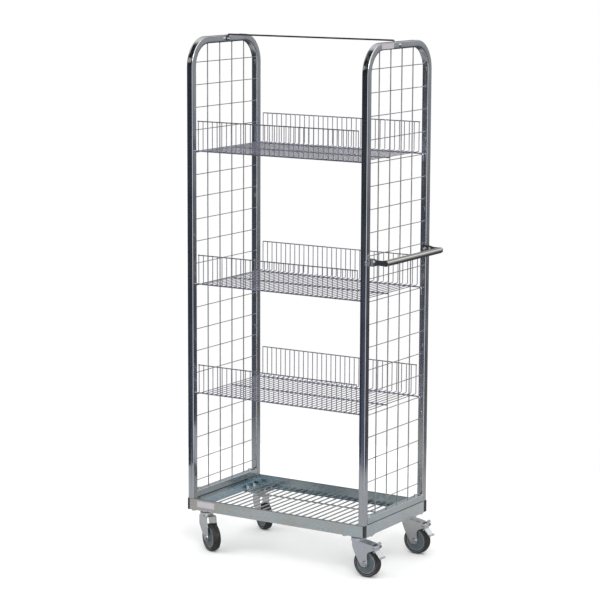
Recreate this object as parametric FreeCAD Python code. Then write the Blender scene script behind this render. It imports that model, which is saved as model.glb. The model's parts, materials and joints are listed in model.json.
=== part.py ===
import FreeCAD
import Part

import math
import os

# A roll container with two tube-and-mesh end frames, a wire deck, three lift-off wire baskets,
# a tie bar across the top, a push handle on one end and four swivel casters, two with brakes.
# Millimetres. X runs along the long side towards the push handle, Y from front to back, Z up.
# The origin is on the floor, under the centre of the base frame.

# ---- base frame ----
base_length = 745.0
base_depth = 445.0
rail_bottom = 148.0
rail_height = 42.0
sheet = 2.0
flange = 26.5
top_lip = 6.0
gusset_length = 85.0
gusset_depth = 80.0
strip_side_leg = 5.5
strip_end_leg = 14.5
strip_thickness = 1.2

# ---- wire deck ----
deck_wire = 5.0
deck_pitch = 28.0
deck_wire_count = 24
deck_support_y = 110.0

# ---- end frames ----
frame_top = 1862.0
tube = 25.0
tube_wall = 1.5
tube_corner = 3.0
tube_bend = 92.5
lug_first = 268.0
lug_pitch = 248.0
lug_count = 7
lug_width = 8.0
lug_height = 16.0
lug_rise = 2.0

# ---- end frame mesh ----
cross_wire = 3.0
mesh_first = 254.0
mesh_pitch = 80.0
mesh_rows = 20
upright_wire = 4.0
upright_wire_pitch = 78.0
upright_wire_count = 4
cross_wire_x = 351.5
weld_sink = 0.3

# ---- wire baskets, named with the mesh row that each one hooks over ----
shelf_rows = {"shelf_bottom": 4, "shelf_middle": 9, "shelf_top": 15}
basket_wire = 3.0
basket_pitch = 20.0
basket_wire_count = 34
basket_half_depth = 211.5
basket_corner = 5.0
railing_height = 105.5
rim_wire = 4.0
rim_overhang = 1.5
support_wire = 5.0
support_y = 190.0
hook_x = 359.0
hook_drop = 28.0
hook_bend = 7.0
basket_shift = 2.5

# ---- tie bar ----
tie_bar_wire = 6.0
tie_bar_z = 1865.0
tie_tab_width = 14.0
tie_tab_thickness = 3.0

# ---- push handle ----
handle_x = 430.0
handle_z = 1117.0
handle_diameter = 22.0
handle_wall = 1.5
bracket_thickness = 4.0
bracket_inner_x = 359.0
bracket_bolt_x = 364.5
bracket_hole_x = 386.0
bracket_hole_z = 1121.0
plug_length = 15.0

# ---- fasteners, metric hexagon ----
m8 = {"diameter": 8.0, "flats": 13.0, "head": 5.3, "nut": 6.5, "hole": 8.5}
m10 = {"diameter": 10.0, "flats": 17.0, "head": 6.4, "nut": 8.0, "hole": 10.0}
frame_bolt_y = 168.0

# ---- casters ----
swivel_inset_x = 51.0
swivel_inset_y = 43.5
caster_headings = {"fl": -30.0, "fr": -3.0, "bl": -33.0, "br": -4.0}
braked_casters = ("fr", "br")
trail = 42.0
wheel_diameter = 100.0
axle_z = wheel_diameter / 2.0
tyre_inner_radius = 44.0
plate_length = 100.0
plate_width = 68.0
plate_thickness = 3.0
plate_bolt_x = 40.0
plate_bolt_y = 22.5
race_radius = 23.0
ball_circle = 17.0
ball_diameter = 6.0
ball_count = 12
ball_z = 138.0
kingpin_diameter = 12.0
kingpin_head = 22.0
crown_top = 126.0
fork_sheet = 2.5
fork_gap = 36.0
running_clearance = 0.05
pivot_x = 78.0
pivot_z = 110.5
pivot_pin = 6.0

# ---- blank label plates ----
label_thickness = 0.4

# ---- derived sizes ----
half_x = base_length / 2.0
half_y = base_depth / 2.0
rail_top = rail_bottom + rail_height
tube_outer_x = half_x
tube_inner_x = tube_outer_x - tube
tube_centre_x = tube_outer_x - tube / 2.0
upright_outer_y = half_y
upright_inner_y = upright_outer_y - tube
upright_centre_y = upright_outer_y - tube / 2.0
top_bar_z = frame_top - tube / 2.0
bottom_rail_top = rail_top + tube
swivel_x = half_x - swivel_inset_x
swivel_y = half_y - swivel_inset_y
fork_half_width = fork_gap / 2.0 + fork_sheet

Vec = FreeCAD.Vector
ALONG_X = Vec(1, 0, 0)
ALONG_Y = Vec(0, 1, 0)
UP = Vec(0, 0, 1)
ENDS = (-1, 1)


# ---- shape helpers ----
def box(x_from, x_to, y_from, y_to, z_from, z_to):
    """A block between two corners, given in any order."""
    x_low, x_high = sorted((x_from, x_to))
    y_low, y_high = sorted((y_from, y_to))
    z_low, z_high = sorted((z_from, z_to))
    return Part.makeBox(x_high - x_low, y_high - y_low, z_high - z_low, Vec(x_low, y_low, z_low))


def rod(start, end, diameter):
    """A straight round bar."""
    return Part.makeCylinder(diameter / 2.0, (end - start).Length, start, end - start)


def fused(shapes):
    """One solid from touching or overlapping shapes."""
    return shapes[0].multiFuse(shapes[1:]).removeSplitter()


def group(shapes):
    """Separate solids kept together in one node."""
    return Part.makeCompound(shapes)


def corner_arc(before, corner, after, radius):
    """The arc that rounds a corner, with its two tangent points."""
    towards_before = (before - corner).normalize()
    towards_after = (after - corner).normalize()
    half_angle = towards_before.getAngle(towards_after) / 2.0
    reach = radius / math.tan(half_angle)
    start = corner + towards_before * reach
    end = corner + towards_after * reach
    bisector = (towards_before + towards_after).normalize()
    middle = corner + bisector * (radius / math.sin(half_angle) - radius)
    return start, end, Part.Arc(start, middle, end).toShape()


def bent_path(points, radius):
    """An open path through the points, every inner corner rounded to one radius."""
    edges = []
    at = points[0]
    for before, corner, after in zip(points, points[1:], points[2:]):
        start, end, arc = corner_arc(before, corner, after, radius)
        edges.append(Part.makeLine(at, start))
        edges.append(arc)
        at = end
    edges.append(Part.makeLine(at, points[-1]))
    return Part.Wire(edges)


def bent_rod(points, radius, diameter):
    """A round bar bent along the points."""
    disc = Part.Face(Part.Wire(Part.makeCircle(diameter / 2.0, points[0], points[1] - points[0])))
    return bent_path(points, radius).makePipe(disc)


def rounded_outline(corners):
    """A closed flat face from (point, radius) corners; a zero radius leaves the corner sharp."""
    edges = []
    joints = []
    count = len(corners)
    for i, (corner, radius) in enumerate(corners):
        if radius:
            before = corners[i - 1][0]
            after = corners[(i + 1) % count][0]
            start, end, arc = corner_arc(before, corner, after, radius)
            joints.append((start, end, arc))
        else:
            joints.append((corner, corner, None))
    for i, (start, end, arc) in enumerate(joints):
        if arc:
            edges.append(arc)
        following = joints[(i + 1) % count][0]
        if (following - end).Length > 1e-6:
            edges.append(Part.makeLine(end, following))
    return Part.Face(Part.Wire(edges))


def side_plate(outline, y_from, y_to):
    """A plate whose outline is drawn in X and Z, with a radius at each corner."""
    corners = [(Vec(x, y_from, z), radius) for x, z, radius in outline]
    return rounded_outline(corners).extrude(Vec(0, y_to - y_from, 0))


def hexagon(seat, direction, flats, height):
    """A hexagonal prism standing on its seat, with a flat to the side."""
    direction = Vec(direction).normalize()
    side = ALONG_Y if abs(direction.y) < 0.5 else ALONG_X
    across = direction.cross(side)
    reach = flats / math.sqrt(3.0)
    ring = []
    for k in range(7):
        turn = math.radians(60.0 * k)
        ring.append(seat + side * (reach * math.cos(turn)) + across * (reach * math.sin(turn)))
    return Part.Face(Part.makePolygon(ring)).extrude(direction * height)


def bolt(seat, direction, length, size):
    """A hexagon-head bolt: the head stands behind its seat, the shank runs along direction."""
    direction = Vec(direction).normalize()
    head = hexagon(seat, direction * -1, size["flats"], size["head"])
    shank = rod(seat, seat + direction * length, size["diameter"])
    return fused([head, shank])


def nut(seat, direction, size):
    """A hexagon nut standing on its seat."""
    direction = Vec(direction).normalize()
    body = hexagon(seat, direction, size["flats"], size["nut"])
    return body.cut(rod(seat - direction, seat + direction * (size["nut"] + 1.0), size["diameter"]))


def tube_face(centre, side, up, width, corner):
    """A rounded square across a tube, centred on its axis."""
    half = width / 2.0
    corners = []
    for u, v in ((-1, -1), (1, -1), (1, 1), (-1, 1)):
        corners.append((centre + side * (half * u) + up * (half * v), corner))
    return rounded_outline(corners)


def square_tube(path, start, side, up):
    """A hollow square tube along a path."""
    outer = path.makePipe(tube_face(start, side, up, tube, tube_corner))
    bore_width = tube - 2.0 * tube_wall
    bore = path.makePipe(tube_face(start, side, up, bore_width, tube_corner - tube_wall))
    return outer.cut(bore)


# ---- base frame ----
def plate_bolt_places():
    """The centres of all sixteen caster plate bolts."""
    places = []
    for end in ENDS:
        for face in ENDS:
            for u in ENDS:
                for v in ENDS:
                    x = end * swivel_x + u * plate_bolt_x
                    y = face * swivel_y + v * plate_bolt_y
                    places.append((x, y))
    return places


def plate_bolt_holes():
    """Drills for the caster plate bolts, through every sheet they clamp."""
    drills = []
    for x, y in plate_bolt_places():
        low = Vec(x, y, rail_bottom - plate_thickness - 1.0)
        drills.append(rod(low, Vec(x, y, rail_bottom + sheet + 1.0), m8["hole"]))
    return group(drills)


def side_rail(end):
    """The end rail under one end frame: a web with a flange at top and bottom."""
    outer = end * half_x
    inner = end * (half_x - sheet)
    lip = end * (half_x - flange)
    web_y = half_y - sheet
    rail = fused([
        box(inner, outer, -web_y, web_y, rail_bottom, rail_top),
        box(lip, inner, -web_y, web_y, rail_bottom, rail_bottom + sheet),
        box(lip, inner, -web_y, web_y, rail_top - sheet, rail_top),
    ])
    drills = [plate_bolt_holes()]
    for face in ENDS:
        centre = Vec(end * tube_centre_x, face * frame_bolt_y, rail_top - sheet - 1.0)
        drills.append(rod(centre, centre + UP * (sheet + 2.0), m8["hole"]))
    return rail.cut(drills)


def long_rail(face):
    """The front or back rail: a web, a bottom flange and a narrow folded top edge."""
    outer = face * half_y
    inner = face * (half_y - sheet)
    bottom_x = half_x - flange
    rail = fused([
        box(-half_x, half_x, inner, outer, rail_bottom, rail_top),
        box(-bottom_x, bottom_x, face * (half_y - flange), inner, rail_bottom, rail_bottom + sheet),
        box(-bottom_x, bottom_x, face * (half_y - top_lip), inner, rail_top - sheet, rail_top),
    ])
    return rail.cut([plate_bolt_holes()])


def corner_gussets():
    """Flat plates between the bottom flanges in the four corners."""
    plates = []
    x_out = half_x - flange
    y_out = half_y - flange
    for end in ENDS:
        for face in ENDS:
            plate = box(
                end * (x_out - gusset_length), end * x_out,
                face * (y_out - gusset_depth), face * y_out,
                rail_bottom, rail_bottom + sheet,
            )
            plates.append(plate.cut([plate_bolt_holes()]))
    return group(plates)


def corner_strips():
    """Plastic strips that cover the upright corners of the base frame."""
    strips = []
    for end in ENDS:
        for face in ENDS:
            outer = box(
                end * (half_x - strip_side_leg), end * (half_x + strip_thickness),
                face * (half_y - strip_end_leg), face * (half_y + strip_thickness),
                rail_bottom, rail_top,
            )
            inside = box(
                end * (half_x - strip_side_leg), end * half_x,
                face * (half_y - strip_end_leg), face * half_y,
                rail_bottom, rail_top,
            )
            strips.append(outer.cut(inside))
    return group(strips)


def spread(count, pitch):
    """Evenly spaced places, centred on zero."""
    return [(i - (count - 1) / 2.0) * pitch for i in range(count)]


def deck_grid():
    """Deck wires from front to back, welded over two wires that run along the length."""
    reach = half_y - sheet
    top_wire_z = rail_bottom + sheet + deck_wire / 2.0
    low_wire_z = rail_bottom + sheet - deck_wire / 2.0 + weld_sink
    wires = []
    for x in spread(deck_wire_count, deck_pitch):
        wires.append(rod(Vec(x, -reach, top_wire_z), Vec(x, reach, top_wire_z), deck_wire))
    for face in ENDS:
        y = face * deck_support_y
        x = half_x - flange
        wires.append(rod(Vec(-x, y, low_wire_z), Vec(x, y, low_wire_z), deck_wire))
    return fused(wires)


# ---- end frames ----
def lug(end, face, z):
    """A small oval lug pressed out of an upright's inner face."""
    x = end * tube_centre_x
    root_y = face * upright_inner_y
    radius = lug_width / 2.0
    straight = lug_height / 2.0 - radius
    outline = [
        (x - radius, z - straight - radius, radius - 0.01),
        (x + radius, z - straight - radius, radius - 0.01),
        (x + radius, z + straight + radius, radius - 0.01),
        (x - radius, z + straight + radius, radius - 0.01),
    ]
    return side_plate(outline, root_y, root_y - face * lug_rise)


def frame_tube(end):
    """One end frame: a square tube bent into an inverted U, with its lugs and bolt holes."""
    x = end * tube_centre_x
    y = upright_centre_y
    foot = Vec(x, -y, rail_top)
    corners = [foot, Vec(x, -y, top_bar_z), Vec(x, y, top_bar_z), Vec(x, y, rail_top)]
    frame = square_tube(bent_path(corners, tube_bend), foot, ALONG_X, ALONG_Y)
    lugs = []
    for face in ENDS:
        for i in range(lug_count):
            lugs.append(lug(end, face, lug_first + i * lug_pitch))
    frame = frame.multiFuse(lugs)
    reach = end * (half_x + 5.0)
    drills = [rod(Vec(end * (tube_inner_x - 5.0), 0, top_bar_z), Vec(reach, 0, top_bar_z), m8["hole"])]
    if end > 0:
        for face in ENDS:
            inner = Vec(bracket_bolt_x, face * (upright_inner_y - 5.0), handle_z)
            outer = Vec(bracket_bolt_x, face * (half_y + 5.0), handle_z)
            drills.append(rod(inner, outer, m8["hole"]))
    return frame.cut(drills)


def bottom_rail(end):
    """The square tube across the foot of an end frame, bolted down to the side rail."""
    start = Vec(end * tube_centre_x, -upright_inner_y, rail_top + tube / 2.0)
    path = Part.Wire([Part.makeLine(start, start + ALONG_Y * (2.0 * upright_inner_y))])
    rail = square_tube(path, start, ALONG_X, UP)
    drills = []
    for face in ENDS:
        centre = Vec(end * tube_centre_x, face * frame_bolt_y, rail_top - 1.0)
        drills.append(rod(centre, centre + UP * (tube + 2.0), m8["hole"]))
    return rail.cut(drills)


def mesh_row_z(row):
    """The height of one cross wire's centre."""
    return mesh_first + row * mesh_pitch


def inner_half_width(z):
    """Half the clear width of an end frame, which narrows in its bends."""
    bend_start = top_bar_z - tube_bend
    if z <= bend_start:
        return upright_inner_y
    inner_bend = tube_bend - tube / 2.0
    centre_y = upright_centre_y - tube_bend
    return centre_y + math.sqrt(inner_bend ** 2 - (z - bend_start) ** 2)


def inner_top(y):
    """The height of the top bar's inner face, which drops in the bends."""
    past_bend = abs(y) - (upright_centre_y - tube_bend)
    if past_bend <= 0:
        return frame_top - tube
    inner_bend = tube_bend - tube / 2.0
    return top_bar_z - tube_bend + math.sqrt(inner_bend ** 2 - past_bend ** 2)


def side_mesh(end):
    """The welded wire mesh that fills one end frame."""
    wires = []
    for row in range(mesh_rows):
        z = mesh_row_z(row)
        lower_edge = inner_half_width(z - cross_wire / 2.0)
        upper_edge = inner_half_width(z + cross_wire / 2.0)
        reach = min(lower_edge, upper_edge)
        x = end * cross_wire_x
        wires.append(rod(Vec(x, -reach, z), Vec(x, reach, z), cross_wire))
    x = end * (cross_wire_x + (cross_wire + upright_wire) / 2.0 - weld_sink)
    for y in spread(upright_wire_count, upright_wire_pitch):
        top = inner_top(abs(y) + upright_wire / 2.0) - running_clearance
        wires.append(rod(Vec(x, y, bottom_rail_top), Vec(x, y, top), upright_wire))
    return fused(wires)


# ---- baskets ----
def basket():
    """One wire basket, with its floor wires centred on height zero."""
    wires = []
    top = railing_height + rim_wire / 2.0
    for x in spread(basket_wire_count, basket_pitch):
        points = [
            Vec(x, -basket_half_depth, top),
            Vec(x, -basket_half_depth, 0),
            Vec(x, basket_half_depth, 0),
            Vec(x, basket_half_depth, top),
        ]
        wires.append(bent_rod(points, basket_corner, basket_wire))
    rim_reach = (basket_wire_count - 1) * basket_pitch / 2.0 + rim_overhang
    rim_y = basket_half_depth + (basket_wire + rim_wire) / 2.0 - weld_sink
    support_z = -(basket_wire + support_wire) / 2.0 + weld_sink
    for face in ENDS:
        start = Vec(-rim_reach, face * rim_y, railing_height)
        wires.append(rod(start, start + ALONG_X * (2.0 * rim_reach), rim_wire))
        y = face * support_y
        left_hook_x = -hook_x - basket_shift
        right_hook_x = hook_x - basket_shift
        points = [
            Vec(left_hook_x, y, support_z - hook_drop),
            Vec(left_hook_x, y, support_z),
            Vec(right_hook_x, y, support_z),
            Vec(right_hook_x, y, support_z - hook_drop),
        ]
        wires.append(bent_rod(points, hook_bend, support_wire))
    start = Vec(-rim_reach, 0, support_z)
    wires.append(rod(start, start + ALONG_X * (2.0 * rim_reach), support_wire))
    return fused(wires)


def basket_floor_z(row):
    """The floor height of a basket whose support wires rest on a cross wire."""
    rest = mesh_row_z(row) + (cross_wire + support_wire) / 2.0 + running_clearance
    return rest + (basket_wire + support_wire) / 2.0 - weld_sink


# ---- tie bar ----
def tie_bar():
    """The bar across the top, bent down at both ends to a flat tab with a bolt hole."""
    x = tube_inner_x - tie_bar_wire / 2.0
    tab_top = tie_bar_z - 4.0
    points = [
        Vec(-x, 0, tab_top - 4.0),
        Vec(-x, 0, tie_bar_z),
        Vec(x, 0, tie_bar_z),
        Vec(x, 0, tab_top - 4.0),
    ]
    pieces = [bent_rod(points, 5.0, tie_bar_wire)]
    drills = []
    for end in ENDS:
        face = end * tube_inner_x
        back = end * (tube_inner_x - tie_tab_thickness)
        half = tie_tab_width / 2.0
        pieces.append(box(back, face, -half, half, top_bar_z, tab_top))
        eye_from = Vec(back, 0, top_bar_z)
        pieces.append(rod(eye_from, Vec(face, 0, top_bar_z), tie_tab_width))
        drills.append(rod(Vec(back - end, 0, top_bar_z), Vec(face + end, 0, top_bar_z), m8["hole"]))
    return fused(pieces).cut(drills)


# ---- push handle ----
def handle_tube():
    """The round push tube between the two brackets."""
    reach = upright_inner_y - bracket_thickness
    start = Vec(handle_x, -reach, handle_z)
    end = Vec(handle_x, reach, handle_z)
    return rod(start, end, handle_diameter).cut(rod(start, end, handle_diameter - 2.0 * handle_wall))


def handle_brackets():
    """Flat brackets on the inner faces of the handle-end uprights."""
    tall = 14.0
    slim = 8.5
    brackets = []
    for face in ENDS:
        inner_y = face * (upright_inner_y - bracket_thickness)
        outer_y = face * upright_inner_y
        outline = [
            (bracket_inner_x, handle_z - tall, 5.0),
            (bracket_inner_x + 24.0, handle_z - tall, 6.0),
            (bracket_inner_x + 44.0, handle_z - slim, 8.0),
            (handle_x + 11.0, handle_z - slim - 1.0, 8.0),
            (handle_x + 11.0, handle_z + slim + 1.0, 8.0),
            (bracket_inner_x + 44.0, handle_z + slim + 1.0, 8.0),
            (bracket_inner_x + 26.0, handle_z + tall, 6.0),
            (bracket_inner_x, handle_z + tall, 5.0),
        ]
        plate = side_plate(outline, inner_y, outer_y)
        drills = []
        for x, z, diameter in (
            (bracket_bolt_x, handle_z, m8["hole"]),
            (bracket_hole_x, bracket_hole_z, 10.0),
            (handle_x, handle_z, 9.0),
        ):
            low = Vec(x, inner_y - face, z)
            drills.append(rod(low, Vec(x, outer_y + face, z), diameter))
        brackets.append(plate.cut(drills))
    return group(brackets)


def handle_end_plugs():
    """Plastic plugs that close the push tube, seen through the bracket holes."""
    plugs = []
    outer = upright_inner_y - bracket_thickness
    for face in ENDS:
        start = Vec(handle_x, face * (outer - plug_length), handle_z)
        end = Vec(handle_x, face * outer, handle_z)
        plugs.append(rod(start, end, handle_diameter - 2.0 * handle_wall))
    return group(plugs)


# ---- fasteners ----
def frame_bolts():
    """Bolts that hold each end frame's bottom rail down on the side rail."""
    bolts = []
    for end in ENDS:
        for face in ENDS:
            seat = Vec(end * tube_centre_x, face * frame_bolt_y, bottom_rail_top)
            bolts.append(bolt(seat, UP * -1, 38.0, m8))
    return group(bolts)


def tube_bolts():
    """Bolts through the frame tubes: two for the tie bar and two for the handle brackets."""
    bolts = []
    for end in ENDS:
        bolts.append(bolt(Vec(end * tube_outer_x, 0, top_bar_z), ALONG_X * -end, 40.0, m8))
    for face in ENDS:
        seat = Vec(bracket_bolt_x, face * upright_outer_y, handle_z)
        bolts.append(bolt(seat, ALONG_Y * -face, 40.0, m8))
    return group(bolts)


def m8_nuts():
    """The nuts on the frame, tie bar and handle bolts."""
    nuts = []
    for end in ENDS:
        for face in ENDS:
            seat = Vec(end * tube_centre_x, face * frame_bolt_y, rail_top - sheet)
            nuts.append(nut(seat, UP * -1, m8))
        seat = Vec(end * (tube_inner_x - tie_tab_thickness), 0, top_bar_z)
        nuts.append(nut(seat, ALONG_X * -end, m8))
    for face in ENDS:
        seat = Vec(bracket_bolt_x, face * (upright_inner_y - bracket_thickness), handle_z)
        nuts.append(nut(seat, ALONG_Y * -face, m8))
    return group(nuts)


def blank_labels():
    """Two plain label plates: one on the front rail, one on the handle-end top bar."""
    front = box(-333.0, -258.0, -half_y - label_thickness, -half_y, 161.0, 183.0)
    top = box(
        tube_outer_x, tube_outer_x + label_thickness,
        -132.0, -50.0,
        top_bar_z - 9.0, top_bar_z + 9.0,
    )
    return group([front, top])


# ---- casters: modelled about the swivel axis, trailing towards +X ----
def ball_track():
    """The ring that the bearing balls run in, with its clearance."""
    return Part.makeTorus(ball_circle, ball_diameter / 2.0 + running_clearance, Vec(0, 0, ball_z))


def caster_top_plate():
    """The bolted plate with the upper ball race below it."""
    under = rail_bottom - plate_thickness
    half_length = plate_length / 2.0
    half_width = plate_width / 2.0
    plate = box(-half_length, half_length, -half_width, half_width, under, rail_bottom)
    race = rod(Vec(0, 0, ball_z + 2.0), Vec(0, 0, under), 2.0 * race_radius)
    drills = [ball_track(), rod(Vec(0, 0, under - 20.0), Vec(0, 0, rail_bottom + 1.0), kingpin_diameter)]
    for u in ENDS:
        for v in ENDS:
            low = Vec(u * plate_bolt_x, v * plate_bolt_y, under - 1.0)
            drills.append(rod(low, low + UP * (plate_thickness + 2.0), m8["hole"]))
    return fused([plate, race]).cut(drills)


def caster_kingpin():
    """The riveted pin that the fork turns on."""
    head_top = crown_top - fork_sheet - 2.0 * running_clearance
    head = rod(Vec(0, 0, head_top - 4.0), Vec(0, 0, head_top), kingpin_head)
    pin = rod(Vec(0, 0, head_top - 4.0), Vec(0, 0, rail_bottom), kingpin_diameter)
    return fused([head, pin])


def caster_balls():
    """The ring of bearing balls between the two races."""
    balls = []
    for k in range(ball_count):
        turn = 2.0 * math.pi * k / ball_count
        centre = Vec(ball_circle * math.cos(turn), ball_circle * math.sin(turn), ball_z)
        balls.append(Part.makeSphere(ball_diameter / 2.0, centre))
    return balls


def plain_fork_body():
    """The bent sheet of a fork without a brake: a flat crown and two legs that taper to the axle."""
    outline = [
        (-19.0, crown_top, 6.0),
        (-19.0, 90.0, 18.0),
        (3.0, 66.0, 30.0),
        (trail - 14.0, axle_z - 12.0, 9.0),
        (trail + 12.0, axle_z - 12.0, 11.0),
        (trail + 10.0, 90.0, 10.0),
        (42.0, 107.0, 8.0),
        (40.0, crown_top, 8.0),
    ]
    body = side_plate(outline, -fork_half_width, fork_half_width)
    return body.cut(box(-60.0, 100.0, -fork_gap / 2.0, fork_gap / 2.0, 0.0, crown_top - fork_sheet))


def nosed_fork_body():
    """The bent sheet of a braked fork, whose nose over the wheel carries the pedal."""
    nose_x = 88.0
    nose_top = 116.0
    slope_x = 32.0
    outline = [
        (-11.0, crown_top, 0),
        (-11.0, 108.0, 20.0),
        (2.0, 79.0, 40.0),
        (trail - 14.0, axle_z - 12.0, 9.0),
        (trail + 12.0, axle_z - 12.0, 11.0),
        (trail + 9.5, 90.0, 14.0),
        (nose_x - 6.0, 103.0, 5.0),
        (nose_x, 108.0, 3.0),
        (nose_x, nose_top, 2.0),
        (slope_x, crown_top, 60.0),
    ]
    body = side_plate(outline, -fork_half_width, fork_half_width)
    under = crown_top - fork_sheet
    hollow_outline = [
        (-40.0, under, 0),
        (slope_x, under, 60.0),
        (nose_x + 56.0, nose_top - fork_sheet - 10.0, 0),
        (nose_x + 56.0, 0.0, 0),
        (-40.0, 0.0, 0),
    ]
    return body.cut(side_plate(hollow_outline, -fork_gap / 2.0, fork_gap / 2.0))


def caster_fork(braked):
    """A fork with its crown and the lower ball race, drilled for the pins."""
    body = nosed_fork_body() if braked else plain_fork_body()
    crown = rod(Vec(0, 0, crown_top - fork_sheet), Vec(0, 0, crown_top), 2.0 * race_radius)
    race = rod(Vec(0, 0, crown_top), Vec(0, 0, ball_z - 2.0), 2.0 * race_radius)
    fork = fused([body, crown, race])
    bore = rod(Vec(0, 0, 100.0), Vec(0, 0, ball_z + 5.0), kingpin_diameter + 2.0 * running_clearance)
    reach = fork_half_width + 1.0
    axle_hole = rod(Vec(trail, -reach, axle_z), Vec(trail, reach, axle_z), m10["hole"])
    drills = [ball_track(), bore, axle_hole]
    if braked:
        drills.append(box(68.0, 100.0, -16.0, 16.0, 104.0, 130.0))
        drills.append(rod(Vec(pivot_x, -reach, pivot_z), Vec(pivot_x, reach, pivot_z), pivot_pin))
    return fork.cut(drills)


def wheel_turned(profile):
    """A ring turned about the axle from (radius, offset along the axle) corners."""
    points = [Vec(trail + radius, offset, axle_z) for radius, offset in profile]
    face = Part.Face(Part.makePolygon(points + points[:1]))
    return face.revolve(Vec(trail, 0, axle_z), ALONG_Y, 360.0)


def wheel_hub():
    """The plastic wheel centre: bearing boss, flat web, a ring groove and the rim under the tyre."""
    bore = 7.5 + running_clearance
    half = [
        (bore, 17.0), (14.0, 17.0), (15.0, 12.0), (37.5, 12.0), (38.0, 9.5), (40.5, 9.5),
        (41.0, 13.0), (tyre_inner_radius, 13.0),
    ]
    mirrored = [(radius, -offset) for radius, offset in reversed(half)]
    return wheel_turned(half + mirrored)


def wheel_tyre():
    """The rubber tyre, with rounded shoulders."""
    outer = wheel_diameter / 2.0
    half = [(outer, 8.0), (49.0, 12.5), (46.5, 15.0), (44.8, 15.0), (tyre_inner_radius, 14.0)]
    mirrored = [(radius, -offset) for radius, offset in reversed(half)]
    return wheel_turned(half + mirrored)


def axle_sleeve():
    """The steel sleeve clamped between the legs, which the wheel runs on."""
    half = fork_gap / 2.0
    start = Vec(trail, -half, axle_z)
    end = Vec(trail, half, axle_z)
    return rod(start, end, 15.0).cut(rod(start, end, m10["diameter"]))


def caster_axle():
    """The axle bolt, its head on the near leg."""
    return bolt(Vec(trail, -fork_half_width, axle_z), ALONG_Y, 2.0 * fork_half_width + 11.0, m10)


def caster_axle_nut():
    return nut(Vec(trail, fork_half_width, axle_z), ALONG_Y, m10)


def brake_pedal():
    """The rocking brake pedal: foot tab, release tab and the block that presses on the tyre."""
    foot_half = 14.0
    release_half = 7.0
    barrel = rod(Vec(pivot_x, -15.0, pivot_z), Vec(pivot_x, 15.0, pivot_z), 12.0)
    foot_outline = [
        (77.0, 105.5, 0),
        (79.8, 97.0, 6.0),
        (101.8, 73.8, 0),
        (104.0, 75.8, 0),
        (83.2, 98.8, 4.0),
        (82.5, 107.0, 0),
    ]
    foot = side_plate(foot_outline, -foot_half, foot_half)
    foot_edge = rod(Vec(104.0, -foot_half, 76.5), Vec(104.0, foot_half, 76.5), 7.0)
    release_outline = [
        (80.0, 114.0, 0),
        (83.5, 109.0, 0),
        (88.5, 117.0, 4.0),
        (92.0, 129.5, 0),
        (89.2, 131.5, 0),
        (85.2, 119.0, 6.0),
    ]
    release = side_plate(release_outline, -release_half, release_half)
    pad_outline = [
        (88.6, 128.5, 0),
        (97.0, 124.5, 1.0),
        (98.0, 126.8, 1.0),
        (90.0, 132.0, 1.0),
    ]
    release_pad = side_plate(pad_outline, -5.0, 5.0)
    block = rod(Vec(76.2, -12.0, 93.6), Vec(76.2, 12.0, 93.6), 6.0)
    web_outline = [
        (75.0, 106.0, 0),
        (74.6, 94.0, 0),
        (78.0, 92.0, 0),
        (83.0, 100.0, 0),
        (81.0, 106.0, 0),
    ]
    block_web = side_plate(web_outline, -10.0, 10.0)
    pedal = fused([barrel, foot, foot_edge, release, release_pad, block, block_web])
    bore = pivot_pin + 2.0 * running_clearance
    return pedal.cut(rod(Vec(pivot_x, -20.0, pivot_z), Vec(pivot_x, 20.0, pivot_z), bore))


def pedal_pin():
    """The riveted pin across the fork's nose."""
    reach = fork_half_width
    pin = rod(Vec(pivot_x, -reach - 1.5, pivot_z), Vec(pivot_x, reach + 1.5, pivot_z), pivot_pin)
    pieces = [pin]
    for face in ENDS:
        start = Vec(pivot_x, face * reach, pivot_z)
        pieces.append(rod(start, start + ALONG_Y * (face * 1.5), 9.0))
    return fused(pieces)


def swivel_place(name):
    """The swivel axis of a caster named by its corner: f or b, then l or r."""
    x = swivel_x if name[1] == "r" else -swivel_x
    y = swivel_y if name[0] == "b" else -swivel_y
    return Vec(x, y, 0)


def at_swivel(shape, name, heading):
    """A caster piece turned to its heading and moved to its corner."""
    turned = shape.rotated(Vec(0, 0, 0), UP, heading)
    return turned.translated(swivel_place(name))


def fixed_caster_nodes():
    """The caster pieces that stay still on the base frame."""
    plates, kingpins, balls, bolts, nuts = [], [], [], [], []
    plate = caster_top_plate()
    kingpin = caster_kingpin()
    ball_ring = caster_balls()
    for name in caster_headings:
        plates.append(at_swivel(plate, name, 0))
        kingpins.append(at_swivel(kingpin, name, 0))
        balls.extend(at_swivel(ball, name, 0) for ball in ball_ring)
    for x, y in plate_bolt_places():
        top = Vec(x, y, rail_bottom + sheet)
        under = Vec(x, y, rail_bottom - plate_thickness)
        bolts.append(bolt(under, UP, 11.8, m8))
        nuts.append(nut(top, UP, m8))
    return {
        "caster_top_plates": group(plates),
        "caster_kingpins": group(kingpins),
        "caster_bearing_balls": group(balls),
        "caster_plate_bolts": group(bolts),
        "caster_plate_nuts": group(nuts),
    }


def moving_caster_nodes():
    """The swivelling and rolling pieces of every caster."""
    shared = {
        "axle": caster_axle(),
        "axle_nut": caster_axle_nut(),
        "sleeve": axle_sleeve(),
        "hub": wheel_hub(),
        "tyre": wheel_tyre(),
    }
    nodes = {}
    for name, heading in caster_headings.items():
        pieces = dict(shared)
        braked = name in braked_casters
        pieces["fork"] = caster_fork(braked)
        if braked:
            pieces["pedal"] = brake_pedal()
            pieces["pedal_pin"] = pedal_pin()
        for piece, shape in pieces.items():
            nodes[f"caster_{name}_{piece}"] = at_swivel(shape, name, heading)
    return nodes


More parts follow.
